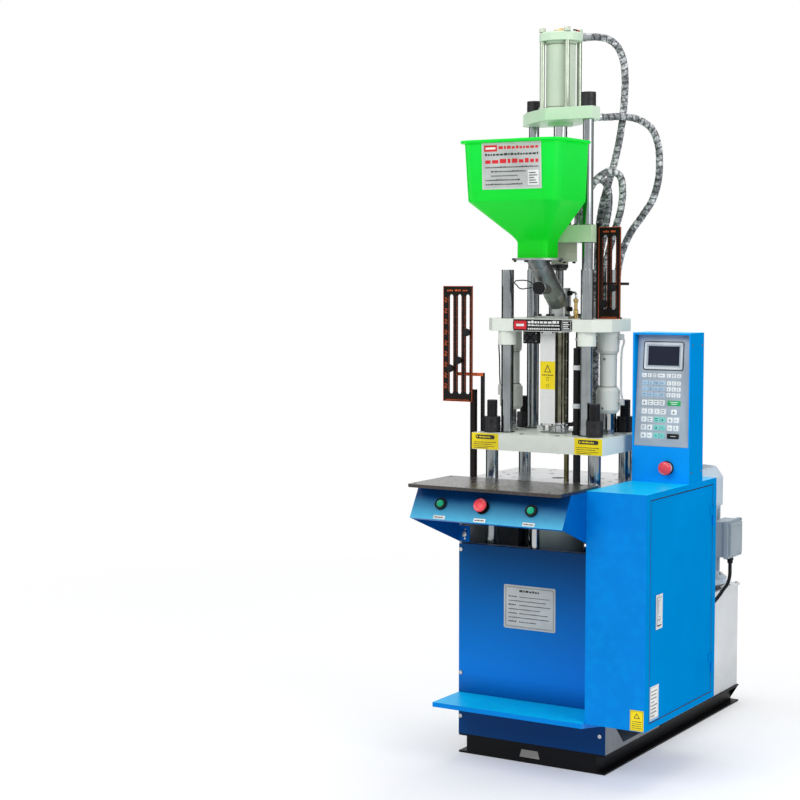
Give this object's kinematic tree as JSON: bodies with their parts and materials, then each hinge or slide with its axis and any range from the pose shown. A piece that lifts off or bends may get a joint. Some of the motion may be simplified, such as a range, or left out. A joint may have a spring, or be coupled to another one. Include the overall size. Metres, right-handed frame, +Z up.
{
  "type": "vertical injection moulding machine",
  "caption": "Upright plastic injection press: hopper and injection cylinder on guide columns above two mould platens, on a blue body with table, cabinet and rear oil tank.",
  "frame": {"origin": "on the floor, straight below the clamp and screw axis, on the underside of the base", "axes": "+X to the machine's right as its operator faces it (the cabinet side), +Y to the back (the tank side), +Z up along the clamp and screw axis"},
  "size_m": [0.7655, 1.368, 2.187],
  "materials": {
    "frame_black": "satin black paint",
    "body_grey": "satin off-white paint",
    "panel_blue": "satin blue paint",
    "platen_steel": "ground steel",
    "table_dark": "satin dark paint",
    "console_blue": "satin blue paint",
    "cylinder_paint": "satin pale paint",
    "tank_grey": "satin light grey paint",
    "motor_cast": "painted casting",
    "motor_paint": "satin light grey paint",
    "block_steel": "machined",
    "cabinet_blue": "satin blue paint",
    "switch_plastic": "moulded",
    "box_blue": "satin blue paint",
    "keypad_plastic": "membrane",
    "screen_glass": "dark glossy",
    "bezel_plastic": "moulded",
    "ruler_black": "satin black paint",
    "label_plastic": "printed film",
    "platen_paint": "satin off-white paint",
    "plate_paint": "satin off-white paint",
    "bar_chrome": "hard chrome",
    "nut_black": "blackened",
    "stud_steel": "painted over",
    "cross_cast": "painted casting",
    "barrel_steel": "turned",
    "cover_steel": "mirror-bright",
    "throat_cast": "painted casting",
    "hopper_green": "translucent",
    "screw_steel": "nitrided",
    "door_blue": "satin blue paint",
    "handle_chrome": "polished",
    "stop_red": "moulded",
    "button_green": "moulded",
    "dog_black": "moulded",
    "hose_grey": "spiral wrap over rubber",
    "cable_black": "sheath"
  },
  "bodies": {
    "frame": {"base_frame": "frame_black", "body_frame": "body_grey", "body_panels": "panel_blue", "foot_shelf": "panel_blue", "lower_platen": "platen_steel", "work_table": "table_dark", "console_box": "console_blue", "platen_cylinders": "cylinder_paint", "oil_tank": "tank_grey", "pump_motor": "motor_cast", "motor_covers": "motor_paint", "valve_manifold": "block_steel", "cabinet_shell": "cabinet_blue", "switchgear": "switch_plastic", "control_box": "box_blue", "keypad_panel": "keypad_plastic", "display_screen": "screen_glass", "control_bases": "bezel_plastic", "ruler_left": "ruler_black", "label_plates": "label_plastic", "hose_main": "hose_grey", "motor_cable": "cable_black"},
    "clamp_unit": {"moving_platen": "platen_paint", "tie_bars": "bar_chrome", "tie_bar_nuts": "nut_black", "guide_columns": "bar_chrome", "top_plate": "plate_paint", "injection_cylinder": "cylinder_paint", "cylinder_studs": "stud_steel", "crosshead": "cross_cast", "cylinder_rods": "bar_chrome", "clamp_pointer": "ruler_black", "hose_cap": "hose_grey", "hose_base": "hose_grey"},
    "seat_unit": {"mid_plate": "platen_paint", "seat_cylinders": "platen_paint", "barrel": "barrel_steel", "barrel_covers": "cover_steel", "feed_throat": "throat_cast", "hopper": "hopper_green", "ruler_right": "ruler_black", "hose_seat": "hose_grey"},
    "injection_unit": {"motor_plate": "plate_paint", "hydraulic_motor": "motor_cast", "piston_rod": "bar_chrome", "hose_motor_a": "hose_grey", "hose_motor_b": "hose_grey"},
    "screw": {"screw": "screw_steel"},
    "door": {"cabinet_door": "door_blue"},
    "handle": {"door_handle": "handle_chrome"},
    "console_stop": {"stop_head_console": "stop_red"},
    "box_stop": {"stop_head_box": "stop_red"},
    "left_start": {"start_button_left": "button_green"},
    "right_start": {"start_button_right": "button_green"},
    "ejector": {"ejector_rod": "bar_chrome"},
    "left_dog_a": {"dog_left_a": "dog_black"},
    "left_dog_b": {"dog_left_b": "dog_black"},
    "left_dog_c": {"dog_left_c": "dog_black"},
    "right_dog_a": {"dog_right_a": "dog_black"},
    "right_dog_b": {"dog_right_b": "dog_black"}
  },
  "joints": [
    {"name": "clamp_slide", "type": "slide", "parent": "frame", "child": "clamp_unit", "axis": [0, 0, 1], "range_m": [-0.06, 0.16], "deforming": ["hose_main"]},
    {"name": "seat_slide", "type": "slide", "parent": "clamp_unit", "child": "seat_unit", "axis": [0, 0, 1], "range_m": [0, 0.05], "deforming": ["hose_seat"]},
    {"name": "injection_slide", "type": "slide", "parent": "seat_unit", "child": "injection_unit", "axis": [0, 0, 1], "range_m": [-0.045, 0.07], "deforming": ["hose_motor_a", "hose_motor_b"]},
    {"name": "screw_turn", "type": "hinge", "parent": "injection_unit", "child": "screw", "pos_m": [0, 0, 1.4], "axis": [0, 0, 1], "continuous": true},
    {"name": "door_hinge", "type": "hinge", "parent": "frame", "child": "door", "pos_m": [0.433, 0.168, 0.5], "axis": [0, 0, 1], "range_deg": [0, 110]},
    {"name": "door_handle_swing", "type": "hinge", "parent": "door", "child": "handle", "pos_m": [0.4315, -0.229, 0.478], "axis": [0, 1, 0], "range_deg": [0, 80], "stiffness_Nm_per_rad": 0.05, "springref_deg": -17.19},
    {"name": "console_stop_press", "type": "slide", "parent": "frame", "child": "console_stop", "axis": [0, -0.8617, 0.5074], "range_m": [-0.003, 0], "stiffness_N_per_m": 500, "springref_m": 0.003},
    {"name": "box_stop_press", "type": "slide", "parent": "frame", "child": "box_stop", "axis": [0, -1, 0], "range_m": [-0.003, 0], "stiffness_N_per_m": 500, "springref_m": 0.003},
    {"name": "left_start_press", "type": "slide", "parent": "frame", "child": "left_start", "axis": [0, -0.8617, 0.5074], "range_m": [-0.003, 0], "stiffness_N_per_m": 500, "springref_m": 0.003},
    {"name": "right_start_press", "type": "slide", "parent": "frame", "child": "right_start", "axis": [0, -0.8617, 0.5074], "range_m": [-0.003, 0], "stiffness_N_per_m": 500, "springref_m": 0.003},
    {"name": "ejector_slide", "type": "slide", "parent": "frame", "child": "ejector", "axis": [0, 0, 1], "range_m": [0, 0.028]},
    {"name": "left_dog_a_slide", "type": "slide", "parent": "frame", "child": "left_dog_a", "axis": [0, 0, 1], "range_m": [-0.071, 0.218]},
    {"name": "left_dog_b_slide", "type": "slide", "parent": "frame", "child": "left_dog_b", "axis": [0, 0, 1], "range_m": [-0.096, 0.193]},
    {"name": "left_dog_c_slide", "type": "slide", "parent": "frame", "child": "left_dog_c", "axis": [0, 0, 1], "range_m": [-0.181, 0.108]},
    {"name": "right_dog_a_slide", "type": "slide", "parent": "seat_unit", "child": "right_dog_a", "axis": [0, 0, 1], "range_m": [-0.011, 0.197]},
    {"name": "right_dog_b_slide", "type": "slide", "parent": "seat_unit", "child": "right_dog_b", "axis": [0, 0, 1], "range_m": [-0.058, 0.15]}
  ]
}
